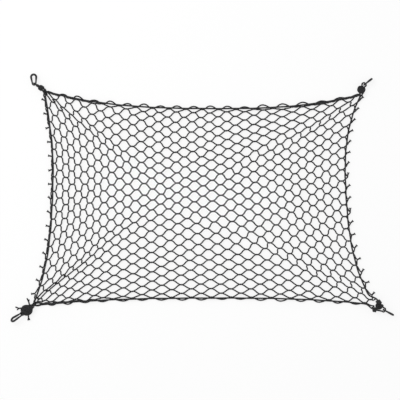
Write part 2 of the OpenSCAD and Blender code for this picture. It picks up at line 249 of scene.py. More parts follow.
def cord_material(name, pattern, counts, groove_shade, crown_highlight, roughness, bump):
    """A matt fibre material whose pattern follows the cord."""
    made = bpy.data.materials.new(name)
    made.use_nodes = True
    tree = made.node_tree
    shader = tree.nodes["Principled BSDF"]
    relief = add_node(tree, "ShaderNodeGroup", node_tree=pattern)
    for socket, value in zip(relief.inputs, counts):
        socket.default_value = value
    place = add_node(tree, "ShaderNodeTexCoord")
    patches = add_node(tree, "ShaderNodeTexNoise")
    patches.inputs["Scale"].default_value = PATCHES_PER_METRE
    patches.inputs["Detail"].default_value = 4
    tree.links.new(place.outputs["Object"], patches.inputs["Vector"])
    worn = math_node(tree, "MULTIPLY_ADD", patches.outputs["Fac"], 0.5, 0.05)
    fuzz = math_node(tree, "MULTIPLY_ADD", relief.outputs["Fibre"], 0.45, worn)
    # Colour factor: random fibres and duller patches, times the relief height, so the crowns get a
    # painted highlight and the grooves painted shade.
    tone = math_node(tree, "MULTIPLY", fuzz, math_node(tree, "MULTIPLY_ADD",
                                                       relief.outputs["Height"], 0.75, 0.45))
    ramp = add_node(tree, "ShaderNodeMix", data_type="RGBA")
    ramp.inputs["A"].default_value = (*groove_shade, 1)
    ramp.inputs["B"].default_value = (*crown_highlight, 1)
    tree.links.new(tone, ramp.inputs["Factor"])
    tree.links.new(ramp.outputs["Result"], shader.inputs["Base Color"])
    rough = math_node(tree, "MULTIPLY_ADD", relief.outputs["Fibre"], 0.2, roughness - 0.1)
    tree.links.new(rough, shader.inputs["Roughness"])
    depth = math_node(tree, "MULTIPLY_ADD", relief.outputs["Fibre"], 0.25,
                      relief.outputs["Height"])
    lifted = add_node(tree, "ShaderNodeBump")
    lifted.inputs["Strength"].default_value = 0.9
    lifted.inputs["Distance"].default_value = bump * MM
    tree.links.new(depth, lifted.inputs["Height"])
    tree.links.new(lifted.outputs[0], shader.inputs["Normal"])
    shader.inputs["Specular IOR Level"].default_value = 0.3
    shader.inputs["Sheen Weight"].default_value = 0.06
    shader.inputs["Sheen Roughness"].default_value = 0.55
    return made


# The light crown colour is a painted highlight; the dark groove colours are painted shade.
CROWN_HIGHLIGHT = (0.030, 0.030, 0.032)
YARN_GROOVE_SHADE = (0.005, 0.005, 0.006)
BRAID_GROOVE_SHADE = (0.004, 0.004, 0.005)
TWINE_GROOVE_SHADE = (0.007, 0.007, 0.008)
mesh_yarn = cord_material("mesh_yarn", knit, (3, 480), YARN_GROOVE_SHADE, CROWN_HIGHLIGHT, 0.8, 0.4)
edge_braid = cord_material("edge_braid", braid, (6, 420), BRAID_GROOVE_SHADE, CROWN_HIGHLIGHT, 0.7, 0.4)
loop_braid = cord_material("loop_braid", braid, (8, 460), BRAID_GROOVE_SHADE, CROWN_HIGHLIGHT, 0.62, 0.35)
binding_twine = cord_material("binding_twine", knit, (2, 560), TWINE_GROOVE_SHADE, CROWN_HIGHLIGHT, 0.78, 0.35)
print("cord materials:", [m.name for m in bpy.data.materials])

# %% [markdown]
# ## Tubes
#
# Everything on this net is a cord of some kind: a long thin tube. A curve with a round bevel
# would do for one cord, but the knit and braid have to follow the length in real metres, and
# the twine is pinched where it is knitted together. So one function sweeps a ring of points
# along a path, lets its radius change on the way, and writes the UV map. The ring is carried
# from point to point without spinning, so that the pattern doesn't twist in a bend.

# %% Sweep a cord along a path
def unit(v):
    return v / np.linalg.norm(v, axis=-1, keepdims=True)


def carried_frames(path, closed):
    """Directions along and across a path; the across direction turns as little as it can."""
    ahead = np.roll(path, -1, axis=0) - np.roll(path, 1, axis=0)
    if not closed:
        ahead[0] = path[1] - path[0]
        ahead[-1] = path[-1] - path[-2]
    ahead = unit(ahead)
    across = np.empty_like(path)
    start = np.cross((0, 0, 1), ahead[0])
    if np.linalg.norm(start) < 0.2:
        start = np.cross((1, 0, 0), ahead[0])
    across[0] = unit(start)
    for i in range(1, len(path)):
        across[i] = unit(across[i - 1] - ahead[i] * (across[i - 1] @ ahead[i]))
    if closed:
        last = unit(across[-1] - ahead[0] * (across[-1] @ ahead[0]))
        slip = math.atan2(np.cross(last, across[0]) @ ahead[0], last @ across[0])
        turn = slip * np.arange(len(path)) / len(path)
        other = np.cross(ahead, across)
        across = across * np.cos(turn)[:, None] + other * np.sin(turn)[:, None]
    return ahead, across


def sweep(path, radius, sides, closed=False):
    """Points in mm, faces and UVs of one tube along a path in mm."""
    path = np.asarray(path, float)
    radius = np.broadcast_to(radius, len(path))
    ahead, across = carried_frames(path, closed)
    up = np.cross(ahead, across)
    angle = np.arange(sides) * 2 * math.pi / sides
    ring = across[:, None] * np.cos(angle)[:, None] + up[:, None] * np.sin(angle)[:, None]
    points = (path[:, None] + radius[:, None, None] * ring).reshape(-1, 3)
    step = np.linalg.norm(np.diff(path, axis=0, append=path[:1]), axis=1)
    along = np.concatenate([[0], np.cumsum(step)]) * MM
    faces, uvs = [], []
    count = len(path)
    for i in range(count if closed else count - 1):
        a, b = i * sides, (i + 1) % count * sides
        for k in range(sides):
            m = (k + 1) % sides
            faces.append((a + k, a + m, b + m, b + k))
            u0, u1 = k / sides, (k + 1) / sides
            uvs += [(u0, along[i]), (u1, along[i]), (u1, along[i + 1]), (u0, along[i + 1])]
    if not closed:
        faces.append(tuple(reversed(range(sides))))
        uvs += [(k / sides, along[0]) for k in reversed(range(sides))]
        faces.append(tuple(range((count - 1) * sides, count * sides)))
        uvs += [(k / sides, along[count - 1]) for k in range(sides)]
    return points, faces, uvs


SHARP_FROM = 50


def cord_piece(name, runs, material, slot, body, *nodes, sides=12):
    """One object made of swept cords. Each run is (path, radius) or (path, radius, closed)."""
    points, faces, uvs = [], [], []
    count = 0
    for run in runs:
        p, f, t = sweep(run[0], run[1], sides, *run[2:])
        points.append(p)
        faces += [tuple(count + k for k in face) for face in f]
        uvs += t
        count += len(p)
    mesh = bpy.data.meshes.new(name)
    mesh.from_pydata((np.concatenate(points) * MM).tolist(), [], faces)
    layer = mesh.uv_layers.new(name="cord_uv")
    layer.data.foreach_set("uv", np.array(uvs, dtype=np.float32).ravel())
    mesh.materials.append(material)
    piece = bpy.data.objects.new(name, mesh)
    bpy.context.collection.objects.link(piece)
    bpy.ops.object.select_all(action="DESELECT")
    piece.select_set(True)
    bpy.context.view_layer.objects.active = piece
    bpy.ops.object.shade_smooth_by_angle(angle=math.radians(SHARP_FROM))
    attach(piece, body)
    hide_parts(*nodes)
    print(name, "faces:", len(mesh.polygons))


def smooth_curve(points, steps, closed=False):
    """A smooth path through given points (a Catmull-Rom curve)."""
    points = np.asarray(points, float)
    if closed:
        padded = np.vstack([points[-1], points, points[0], points[1]])
    else:
        padded = np.vstack([2 * points[0] - points[1], points, 2 * points[-1] - points[-2]])
    t = (np.arange(steps) / steps)[:, None]
    pieces = []
    for a, b, c, d in zip(padded, padded[1:], padded[2:], padded[3:]):
        pieces.append(0.5 * (2 * b + (c - a) * t + (2 * a - 5 * b + 4 * c - d) * t ** 2
                             + (3 * b - a - 3 * c + d) * t ** 3))
    return np.vstack(pieces if closed else pieces + [points[-1:]])


# %% [markdown]
# ## The shape of the net
#
# The net was never a rectangle: its edge cords are drawn in, so each side bows inwards, and
# the cells near a side are pulled tall and narrow or short and wide. Its four edges are bows
# like the solid model's, with their sag set a little closer to the photograph. Inside them, a
# point is found by blending opposite edges, and the spacing is then stretched: the
# columns crowd to the left, and the rows at the left slip down towards the bottom corner. Two
# small tables say how far, in shares of the width and of the height, at a few places across
# and down. Between the places a shift is blended, and then evened out so that it has no kink.

# %% Edges of the net, in millimetres
CORNER = {
    "tl": np.array([-391.0, 266.6]),
    "tr": np.array([399.0, 259.6]),
    "bl": np.array([-425.5, -270.4]),
    "br": np.array([430.5, -268.4]),
}
SAG_TOP, SAG_RIGHT, SAG_BOTTOM, SAG_LEFT = 39.5, 53, 18, 40
EDGE_POWER = 2.8
STRAIGHT_START = 0.12


def bowed(a, b, sag, towards, t, straight=0):
    """Points of one edge, bowed by its sag; a straight start bows later."""
    t = np.asarray(t, float)[..., None]
    bulge = (1 - np.abs(2 * t - 1) ** EDGE_POWER) * t / np.maximum(t + straight, 0.001)
    return CORNER[a] + (CORNER[b] - CORNER[a]) * t + sag * np.array(towards) * bulge


def top_edge(t):
    return bowed("tl", "tr", SAG_TOP, (0, -1), t)


def bottom_edge(t):
    return bowed("bl", "br", SAG_BOTTOM, (0, 1), t)


def left_edge(t):
    return bowed("tl", "bl", SAG_LEFT, (1, 0), t, STRAIGHT_START)


def right_edge(t):
    return bowed("tr", "br", SAG_RIGHT, (-1, 0), t)


def panel(across, down):
    """A point of the net, blended between its four edges."""
    u, v = across[..., None], down[..., None]
    sides = (1 - v) * top_edge(across) + v * bottom_edge(across)
    sides = sides + (1 - u) * left_edge(down) + u * right_edge(down)
    corners = (1 - u) * ((1 - v) * CORNER["tl"] + v * CORNER["bl"])
    return sides - corners - u * ((1 - v) * CORNER["tr"] + v * CORNER["br"])


print("top edge at its middle, mm:", top_edge(0.5).round(1))

# %% How the joints are spread
STRANDS = 40
COLUMNS = 39
AT_ACROSS = (0, 0.05, 0.25, 0.5, 0.7, 0.85, 1)
AT_DOWN = (0, 0.2, 0.4, 0.6, 0.8, 1)
SHIFT_ACROSS = np.array([
    (-0.020, -0.045, -0.045, -0.045, -0.050, -0.010, 0),
    (0, -0.030, -0.060, -0.045, -0.015, 0.005, 0),
    (0, -0.020, -0.060, -0.030, 0, 0, 0),
    (0, -0.020, -0.065, -0.030, 0.010, 0.010, 0),
    (0, -0.035, -0.060, -0.020, 0.025, 0.030, 0.010),
    (0, -0.045, -0.045, -0.020, 0, 0.015, 0.010),
])
SHIFT_DOWN = np.array([
    (-0.06, -0.050, -0.010, 0, -0.005, -0.010, -0.035),
    (-0.01, -0.010, -0.010, 0, -0.040, -0.050, -0.035),
    (0.04, 0.035, 0.015, -0.005, -0.045, -0.045, -0.045),
    (0.09, 0.085, 0.045, -0.010, -0.015, -0.030, -0.030),
    (0.13, 0.120, 0.045, 0.010, 0.010, 0.010, -0.005),
    (0.16, 0.080, 0, 0, 0, 0, 0),
])
EVENING = 14
BUNCHING = 0.003
LEAST_SPACING = 0.03


def looked_up(table, u, v):
    """A value between the table's places, blended across and down."""
    i = np.clip(np.searchsorted(AT_DOWN, v, side="right") - 1, 0, len(AT_DOWN) - 2)
    j = np.clip(np.searchsorted(AT_ACROSS, u, side="right") - 1, 0, len(AT_ACROSS) - 2)
    s = (v - np.take(AT_DOWN, i)) / np.take(np.diff(AT_DOWN), i)
    t = (u - np.take(AT_ACROSS, j)) / np.take(np.diff(AT_ACROSS), j)
    upper = (1 - t) * table[i, j] + t * table[i, j + 1]
    lower = (1 - t) * table[i + 1, j] + t * table[i + 1, j + 1]
    return (1 - s) * upper + s * lower


def kept_inside(t, even):
    """t, eased to stay between 0 and 1; where it would pile up, a little spacing is kept."""
    t = BUNCHING * np.log1p(np.exp(t / BUNCHING))
    t = 1 - BUNCHING * np.log1p(np.exp((1 - t) / BUNCHING))
    return (1 - LEAST_SPACING) * t + LEAST_SPACING * even


def evened(shift):
    """The shift without the kinks at the table's places; its border stays."""
    for _ in range(EVENING):
        shift[1:-1] = shift[:-2] / 4 + shift[1:-1] / 2 + shift[2:] / 4
        shift[:, 1:-1] = shift[:, :-2] / 4 + shift[:, 1:-1] / 2 + shift[:, 2:] / 4
    return shift


def spread(u, v):
    """Moves evenly spaced joints to where the stretched net has them."""
    return (kept_inside(u + evened(looked_up(SHIFT_ACROSS, u, v)), u),
            kept_inside(v + evened(looked_up(SHIFT_DOWN, u, v)), v))


column, row = np.meshgrid(np.arange(COLUMNS + 1), np.arange(STRANDS + 1), indexing="ij")
across = np.clip((column - 0.5) / (COLUMNS - 1), 0, 1)
down = np.clip((row - 1) / (STRANDS - 2), 0, 1)
joints = panel(*spread(across, down))
print("joints:", joints.shape[:2], "cells:", int((COLUMNS - 1) * (STRANDS - 1) / 2))

# %% [markdown]
# The corners pull hardest, and from each one a crease runs into the net. The meshes are drawn
# together towards its line, so the legs along it lie close and every second leg stands
# upright. The part above has also slipped a little along the crease, and the part below the
# other way. Each crease is a line with an amount of slip and of squeeze, in millimetres.

# %% Creases, and what sticks out at the edges
CREASES = (
    dict(start=(-378, 250), stop=(-150, 60), slip=6, squeeze=7),
    dict(start=(385, 238), stop=(60, 60), slip=11, squeeze=3),
    dict(start=(-418, -256), stop=(-120, -20), slip=-3, squeeze=9),
    dict(start=(410, -240), stop=(80, -85), slip=-11, squeeze=2),
)
CREASE_W = 13.0
CREASE_FADE = 60.0
EDGE_RAMP = 25


def creased(points):
    """The points, with the slip and the squeeze of every crease."""
    moved = points.copy()
    near_edge = np.minimum(np.minimum(across, 1 - across), np.minimum(down, 1 - down))
    for crease in CREASES:
        start = np.array(crease["start"], float)
        way = unit(crease["stop"] - start)
        above = np.array([-way[1], way[0]]) * np.sign(way[0])
        along = (points - start) @ way / np.linalg.norm(crease["stop"] - start)
        height = (points - start) @ above
        strength = np.tanh(height / CREASE_W) * np.exp(-np.abs(height) / CREASE_FADE)
        strength = strength * np.exp(-along ** 2) * np.clip(EDGE_RAMP * near_edge, 0, 1)
        moved -= strength[..., None] * (crease["slip"] * way + crease["squeeze"] * above)
    return moved


STUB_OUT = 6.2
STUB_SLACK = 8.0
NEXT_OUT = 2.3
BELOW_CORD = 2.4
SCALLOP = 4.2
SCALLOP_AT_CORNER = 4.5


def clear_of(corner, r, distance, least):
    """How freely each scallop of row r stands out, from how far it is from a corner."""
    inwards = -np.sign(CORNER[corner][0])
    return np.clip((joints[:, r, 0] - CORNER[corner][0]) * inwards / distance, least, 1)


joints = creased(joints)
edge_left, edge_right = joints[0].copy(), joints[COLUMNS].copy()
joints[0, :, 0] -= STUB_OUT + STUB_SLACK * down[0] ** 3
joints[1, :, 0] -= NEXT_OUT
joints[COLUMNS, :, 0] += STUB_OUT + STUB_SLACK * down[0] ** 3
rise = SCALLOP + SCALLOP_AT_CORNER * np.abs(2 * np.arange(COLUMNS + 1) / COLUMNS - 1) ** 2
top_free = rise * clear_of("tl", 0, 60, 0.1) * clear_of("tr", 0, 150, 0.3)
bottom_free = rise * clear_of("bl", STRANDS, 130, 0.2) * clear_of("br", STRANDS, 150, 0.3)
scallop_rng = np.random.default_rng(5)
joints[:, 0, 1] += top_free * scallop_rng.uniform(0.6, 1.6, COLUMNS + 1)
joints[:, STRANDS, 1] -= bottom_free * scallop_rng.uniform(0.6, 1.4, COLUMNS + 1)
joints[:, 1, 1] -= BELOW_CORD
joints[:, STRANDS - 1, 1] += BELOW_CORD
print("scallop height, mm:", rise.min().round(1), "to", rise.max().round(1))

# %% [markdown]
# ## Letting the twine settle
#
# A joint is a stiff little bar, because two strands are knitted together in it, and it lies
# along its row. A leg is soft: it can't get much longer than the machine knitted it, but it
# may go slack. So seeded unevenness is added first, and then many small steps draw the long
# legs in and let the slack ones push a little, while the floor holds each joint. The cut
# joints at the sides are free to point where they like: at the right most of them stand up.

# %% Settle the joints
JOINT_L = 9.2
SCALLOP_L = 5.2
LEG_L = 18.5
SLACK_PUSH = 0.05
FLOOR_GRIP = 0.12
ROUNDS = 80
UNEVEN = 0.9
UNEVEN_RUN = 0.9
LEFT_LEAN, RIGHT_LEAN = -0.5, 0.75
LEFT_LOOSE, RIGHT_LOOSE = 0.3, 0.35

rng = np.random.default_rng(7)
is_joint = (column + row) % 2 == 0
number = np.full(is_joint.shape, -1)
number[is_joint] = np.arange(is_joint.sum())
legs = []
for c in range(COLUMNS):
    for r in range(c % 2, STRANDS + 1, 2):
        legs += [(number[c, r], number[c + 1, q]) for q in (r - 1, r + 1) if 0 <= q <= STRANDS]
legs = np.array(legs)
joint_run = unit(np.gradient(joints, axis=0) + rng.normal(0, UNEVEN_RUN, joints.shape))
for c, lean, loose in ((0, LEFT_LEAN * down[0], LEFT_LOOSE), (COLUMNS, RIGHT_LEAN, RIGHT_LOOSE)):
    lean = lean + rng.normal(0, loose, STRANDS + 1)
    joint_run[c] = np.column_stack([np.cos(lean), np.sin(lean)])

on_edge = (column == 0) | (column == COLUMNS) | (row <= 1) | (row >= STRANDS - 1)
held = on_edge[is_joint][:, None]
home = joints[is_joint]
home = home + rng.normal(0, UNEVEN, home.shape) * ~held
half = np.where((row == 0) | (row == STRANDS), SCALLOP_L, JOINT_L)[is_joint][:, None] / 2
half = half * joint_run[is_joint]
middle = home.copy()
for _ in range(ROUNDS):
    reach = (middle - half)[legs[:, 1]] - (middle + half)[legs[:, 0]]
    length = np.linalg.norm(reach, axis=1, keepdims=True)
    give = np.where(length > LEG_L, 1, SLACK_PUSH) * (length - LEG_L) / np.maximum(length, 0.01)
    give = give * reach / 2
    pull = np.zeros_like(home)
    np.add.at(pull, legs[:, 0], give)
    np.add.at(pull, legs[:, 1], -give)
    middle = middle + np.where(held, 0, pull / 3) + FLOOR_GRIP * (home - middle)
joints[is_joint] = middle
print("leg length, mm: mean", length.mean().round(1), "most", length.max().round(1))

# %% [markdown]
# ## Corners: where everything is gathered
#
# At each corner the ends of the edge cords, the legs of an eye and the last strands of the
# net run into one binding. The same few directions place all of them, so they are worked
# out once: the bar of the eye that the loop hangs on, the way the eye points, and the
# middle of the binding behind it. The sizes and angles are the solid model's own: each bar
# lies so many millimetres out from its corner, towards some direction.

# %% Places at the corners, in millimetres
LOOP_R = 2.0
EDGE_R = 1.95
FREE_BOW_R = 2.6
LINK_GAP = 0.3
BEND_R = 2.6
BOW_R = 6.5
INNER_R = 2 * LOOP_R + LINK_GAP
BAR_HALF = LOOP_R + LINK_GAP
BAR_Z = BOW_R + LOOP_R + LINK_GAP
LEG_OFF = BAR_HALF + BEND_R
KNEE = INNER_R + LOOP_R + LINK_GAP
SOLID_CORD_R = 1.75
BIND_GAP = 0.12
TURN_STEP, TURN_D = 3.05, 2.4
LEG_Z = LOOP_R + BIND_GAP / 2
CORD_SIDE = 3.4
BINDING_L = 3 * TURN_STEP + TURN_D
BINDING_FRONT = 9
KNOT_LEG_Z = BAR_Z - SOLID_CORD_R - BIND_GAP / 2
KNOT_CORD_Z = BAR_Z + LEG_Z
KNOT_L = 2 * TURN_STEP + TURN_D
CENTRING = 0.024
EYES = {
    "tl": dict(out=34.5, towards=146, way=146, loop=94, bind=146, roll=90, reach=24),
    "tr": dict(out=26, towards=72, way=38, loop=38, bind=80, roll=0, reach=22),
    "bl": dict(out=33, towards=218, way=213, loop=213, bind=213, roll=38, reach=31),
    "br": dict(out=28.5, towards=-27, way=-28, loop=-28, bind=None, roll=0, reach=25),
}
KNOTS = {
    "right": dict(from_corner=(10, 8, 0), way=-63),
    "bottom": dict(from_corner=(1, -11, 0), way=-17),
}
UP = np.array([0.0, 0.0, 1.0])


def level(angle):
    """A level direction, from its angle in degrees."""
    a = math.radians(angle)
    return np.array([math.cos(a), math.sin(a), 0.0])


def sideways(angle):
    return level(angle + 90)


def raised_corner(corner):
    """A corner of the net at the height of the bars, where the centred solid has it."""
    return np.array([*CORNER[corner], BAR_Z]) + (CENTRING, 0, 0)


def binding(corner):
    """Middle and direction of the binding at a corner."""
    eye = EYES[corner]
    knee = eye["bar"] - KNEE * level(eye["way"])
    front = knee - BINDING_FRONT * unit(level(eye["bind"]) + 0.3 * level(eye["way"]))
    return front - BINDING_L / 2 * level(eye["bind"]), level(eye["bind"])


for corner, eye in EYES.items():
    eye["bar"] = raised_corner(corner) + eye["out"] * level(eye["towards"])
for knot in KNOTS.values():
    knot["at"] = raised_corner("br") + knot["from_corner"]
for corner in ("tl", "tr", "bl"):
    print("binding", corner, "mm:", binding(corner)[0].round(1))

# %% [markdown]
# ## The strands
#
# The net has 40 strands that run from left to right. In each column a strand is knitted
# together with the neighbour above it or the one below it, by turns: the two wind once round
# each other and part again. So the path of a strand is a short double twist at each joint
# and a nearly straight leg between joints. At the left and right the joints of the last
# column are cut, and stand out past the edge cord as short stubs with a hard melted end.
# Each strand is one swept tube, a little thinner where the knitting squeezes it. Knitted
# twine is soft and hairy, so it is drawn thicker than the bare cord inside it.

# %% Path of a strand
STRAND_R = 1.75
PINCHED_R = 1.45
TWIST_SIDE = 1.0
TWIST_UP = 0.45
AT_CUT = 1.8
LONE_TWIST = 0.15
STUB_HALF = 4.7
UNEVEN_HEIGHT = 0.35
BEND = 0.42
EDGE_BEND = 0.15
TWIST_STEPS = 8
LEG_STEPS = 6


def through_joint(c, r, upper):
    """Points of one strand through one joint, winding once round its partner."""
    run = joint_run[c, r]
    rise = np.array([-run[1], run[0]])
    single = r in (0, STRANDS)
    half = STUB_HALF if c in (0, COLUMNS) else (SCALLOP_L if single else JOINT_L) / 2
    points, radii = [], []
    for k in range(TWIST_STEPS + 1):
        t = k / TWIST_STEPS
        turn = 2 * math.pi * t
        out = TWIST_SIDE * math.cos(turn) * upper * (LONE_TWIST if single else 1)
        lift = TWIST_UP * math.sin(turn) * upper * (0 if single else 1)
        tip = (c == 0 and k == 0) or (c == COLUMNS and k == TWIST_STEPS)
        if tip:
            out *= AT_CUT
        flat = joints[c, r] + run * half * (2 * t - 1) + rise * out
        points.append((*flat, NET_Z + lift))
        radii.append(STRAND_R if single else PINCHED_R)
    return points, radii


def bent_leg(before, after, bend):
    """Points of a leg that leaves one joint and enters the next along their own directions."""
    a, b = np.array(before[-1]), np.array(after[0])
    way_a, way_b = a - np.array(before[-2]), np.array(after[1]) - b
    way_a[2] = way_b[2] = 0
    reach = bend * np.linalg.norm(b - a)
    t = (np.arange(1, LEG_STEPS + 1) / (LEG_STEPS + 1))[:, None]
    s = 1 - t
    leg = (s ** 3 * a + 3 * s ** 2 * t * (a + reach * unit(way_a))
           + 3 * s * t ** 2 * (b - reach * unit(way_b)) + t ** 3 * b)
    return leg + rng.normal(0, UNEVEN_HEIGHT) * np.sin(math.pi * t) * UP


def strand_path(s):
    """The whole path and radius of strand s, counted from the top."""
    points, radii = [], []
    for c in range(COLUMNS + 1):
        r = s + (c + s) % 2
        here, sizes = through_joint(c, r, 1 if r == s + 1 else -1)
        if points:
            points += list(bent_leg(points, here, EDGE_BEND if c in (1, COLUMNS) else BEND))
            radii += [STRAND_R] * LEG_STEPS
        points += here
        radii += sizes
    return np.array(points, float), np.array(radii)


def eased(values, rounds=1):
    """The values with their corners rounded off; the two ends stay."""
    values = values.copy()
    for _ in range(rounds):
        values[1:-1] = values[:-2] / 4 + values[1:-1] / 2 + values[2:] / 4
    return values


def melted_end(path, radius, at_start):
    """Closes a cut end with a small rounded bead."""
    if not at_start:
        path, radius = melted_end(path[::-1], radius[::-1], True)
        return path[::-1], radius[::-1]
    out = unit(path[0] - path[1])
    bead = [path[0] + out * d for d in (1.25, 1.05, 0.6)]
    return np.vstack([bead, path]), np.concatenate([[0.25, 0.75, 1.02], radius])


POINTS_PER_COLUMN = TWIST_STEPS + 1 + LEG_STEPS
print("points in one joint and its leg:", POINTS_PER_COLUMN)

# %% [markdown]
# The first and last strands don't end in a free stub: they are gathered into the binding or
# the knot of their corner. Their last joint is left out, and the strand runs on into the
# binding beside the cords, where its end is held.

# %% Which strands are gathered, and where
TO_TOP_LEFT = (0, 1, 2)
TO_BOTTOM_LEFT = range(33, STRANDS)
TO_TOP_RIGHT = (0, 1)
TO_RIGHT_KNOT, TO_BOTTOM_KNOT = STRANDS - 2, STRANDS - 1
CORE_R = 3.6
SPREAD_OUT = 1.1
PAST_BINDING = 0.5
GATHERED_R = 0.95 * STRAND_R


def into_binding(corner, k, count):
    """Points of a strand on its way through a binding: the k-th of count round its core."""
    middle, way = binding(corner)
    side = np.cross(UP, way)
    turn = math.radians(45 + 360 * k / count)
    core = CORE_R * (math.cos(turn) * side + math.sin(turn) * UP)
    return [middle - way * (BINDING_L / 2 + 5) + core * SPREAD_OUT,
            middle - way * BINDING_L / 2 + core,
            middle + way * (BINDING_L / 2 + PAST_BINDING) + core]


def into_knot(knot):
    """Points of a strand that ends inside a knot."""
    middle, way = KNOTS[knot]["at"], level(KNOTS[knot]["way"])
    return [middle - way * 8 - UP * 2.5, middle - way * 3 - UP * 1.5, middle + UP * 0.5]


def joined(start, end, steps=5):
    """A smooth way from the end of one path to the start of another."""
    a, b = start[-1], end[0]
    reach = np.linalg.norm(b - a) * 0.4
    way_a, way_b = unit(start[-1] - start[-2]), unit(end[1] - end[0])
    t = (np.arange(1, steps) / steps)[:, None]
    s = 1 - t
    return (s ** 3 * a + 3 * s ** 2 * t * (a + reach * way_a)
            + 3 * s * t ** 2 * (b - reach * way_b) + t ** 3 * b)


def gathered(path, radius, end_points):
    """The path without its last column, run on through the given points."""
    path, radius = path[:-POINTS_PER_COLUMN], radius[:-POINTS_PER_COLUMN]
    tail = smooth_curve(end_points, 4)
    path = np.vstack([path, joined(path, tail), tail])
    radius = np.concatenate([radius, np.full(len(path) - len(radius), GATHERED_R)])
    return path, radius


def finished_strand(s):
    """Strand s with both of its ends, as a run for cord_piece."""
    path, radius = strand_path(s)
    path, radius = eased(path, 2), eased(radius, 2)
    if s in TO_TOP_RIGHT:
        path, radius = gathered(path, radius, into_binding("tr", s, 4))
    elif s == TO_RIGHT_KNOT:
        path, radius = gathered(path, radius, into_knot("right"))
    elif s == TO_BOTTOM_KNOT:
        path, radius = gathered(path, radius, into_knot("bottom"))
    else:
        path, radius = melted_end(path, radius, False)
    path, radius = path[::-1], radius[::-1]
    if s in TO_TOP_LEFT:
        path, radius = gathered(path, radius, into_binding("tl", s, 4))
    elif s in TO_BOTTOM_LEFT:
        path, radius = gathered(path, radius, into_binding("bl", s - TO_BOTTOM_LEFT[0], 8))
    else:
        path, radius = melted_end(path, radius, False)
    return path, radius


# %% Build the strands in four bands
BAND = 10
strands = [finished_strand(s) for s in range(STRANDS)]
for k in range(0, STRANDS, BAND):
    cord_piece(f"net_strands_{k // BAND + 1}", strands[k:k + BAND], mesh_yarn, "mesh_yarn",
               "root", "netting", sides=10)
total = sum(np.linalg.norm(np.diff(p, axis=0), axis=1).sum() for p, _ in strands)
print("twine in the net, m:", round(total * MM, 1))

# %% [markdown]
# ## The edge cords
#
# Each edge has its own cord. Along the top and bottom it passes over one joint of the first
# row and under the next; down the sides it passes between the two strands behind each cut
# stub in the same way. It ends in the bindings and knots at the corners. The path is a list
# of crossings, high and low by turns, with a smooth way into each binding.

# %% Thread the edge cords
CORD_LOW = 1.85
CORD_HIGH = 7.3


def woven(points):
    """The crossings of an edge cord, over and under by turns."""
    heights = [CORD_HIGH if k % 2 == 0 else CORD_LOW for k in range(len(points))]
    return np.column_stack([points, heights])


def seat_in_binding(corner, side):
    """Rear and end of an edge cord inside a binding, on one side of the eye's legs."""
    middle, way = binding(corner)
    off = side * CORD_SIDE * np.cross(UP, way)
    return [middle - way * BINDING_L / 2 + off,
            middle + way * (BINDING_L / 2 + PAST_BINDING) + off]


def seat_in_knot(knot):
    """Rear and end of an edge cord inside an end knot."""
    middle = np.array([*KNOTS[knot]["at"][:2], KNOT_CORD_Z])
    way = level(KNOTS[knot]["way"])
    return [middle - way * KNOT_L / 2, middle + way * (KNOT_L / 2 + PAST_BINDING)]


def edge_cord(name, crossings, seat_a, seat_b):
    """One edge cord from seat to seat."""
    weave = smooth_curve(woven(crossings), 6)
    start = smooth_curve(seat_a, 4)[::-1]
    stop = smooth_curve(seat_b, 4)
    path = eased(np.vstack([start, joined(start, weave, 7), weave,
                            joined(weave, stop, 7), stop]))
    cord_piece(f"{name}_braided", [(path, EDGE_R)], edge_braid, "edge_cord", "root", name)
    length = np.linalg.norm(np.diff(path, axis=0), axis=1).sum() * MM
    print(name, "cord, m:", round(length, 3))


odd_columns = np.arange(1, COLUMNS, 2)
left_rows = np.arange(4, STRANDS - 6, 2)
right_rows = np.arange(3, STRANDS - 2, 2)
edge_cord("edge_cord_top", joints[odd_columns, 1] + (0, BELOW_CORD),
          seat_in_binding("tl", -1), seat_in_binding("tr", 1))
edge_cord("edge_cord_bottom", joints[odd_columns, STRANDS - 1] - (0, BELOW_CORD),
          seat_in_binding("bl", 1), seat_in_knot("bottom"))
edge_cord("edge_cord_left", edge_left[left_rows],
          seat_in_binding("tl", 1), seat_in_binding("bl", -1))
edge_cord("edge_cord_right", edge_right[right_rows],
          seat_in_binding("tr", -1), seat_in_knot("right"))

# %% [markdown]
# ## Eyes and loops
#
# An eye is a bight of cord: two legs come out of the binding, spread, and turn into a short
# bar. The corner loop is a closed ring of the same cord, linked round that bar. The loop is
# the one piece that swings, so it rides on its own body and its centre line keeps exactly to
# the solid's: a small bow round the bar, two straight limbs and a wider bow at the free end.

# %% Eyes
def eye_head(corner):
    """Points round the bar of an eye, from one knee to the other."""
    eye = EYES[corner]
    bar, way = eye["bar"], level(eye["way"])
    roll = math.radians(eye["roll"])
    across = -math.cos(roll) * sideways(eye["way"]) + math.sin(roll) * UP
    half = [bar - KNEE * way + LEG_OFF * across, bar - BEND_R * way + LEG_OFF * across]
    for angle in (22.5, 45, 67.5, 90):
        a = math.radians(angle)
        half.append(bar + BEND_R * (math.sin(a) - 1) * way
                    + (BAR_HALF + BEND_R * math.cos(a)) * across)
    other = [p - 2 * ((p - bar) @ across) * across for p in reversed(half)]
    return half + other


def eye_in_binding(corner):
    """The whole path of an eye whose legs lie above each other in a binding."""
    middle, way = binding(corner)
    head = eye_head(corner)
    order = 1 if EYES[corner]["roll"] > 0 else -1
    up = UP * LEG_Z * order
    rear, front = middle - way * BINDING_L / 2, middle + way * BINDING_L / 2
    return [rear + up, front + up, *head, front - up, rear - up]


def eye_in_knots():
    """The path of the eye whose legs end in the two end knots."""
    ends = []
    for knot in ("right", "bottom"):
        way = level(KNOTS[knot]["way"])
        middle = np.array([*KNOTS[knot]["at"][:2], KNOT_LEG_Z])
        ends.append([middle - way * KNOT_L / 2, middle + way * KNOT_L / 2])
    head = eye_head("br")
    if np.linalg.norm(head[0] - ends[0][1]) > np.linalg.norm(head[-1] - ends[0][1]):
        head = head[::-1]
    return [*ends[0], *head, *reversed(ends[1])]


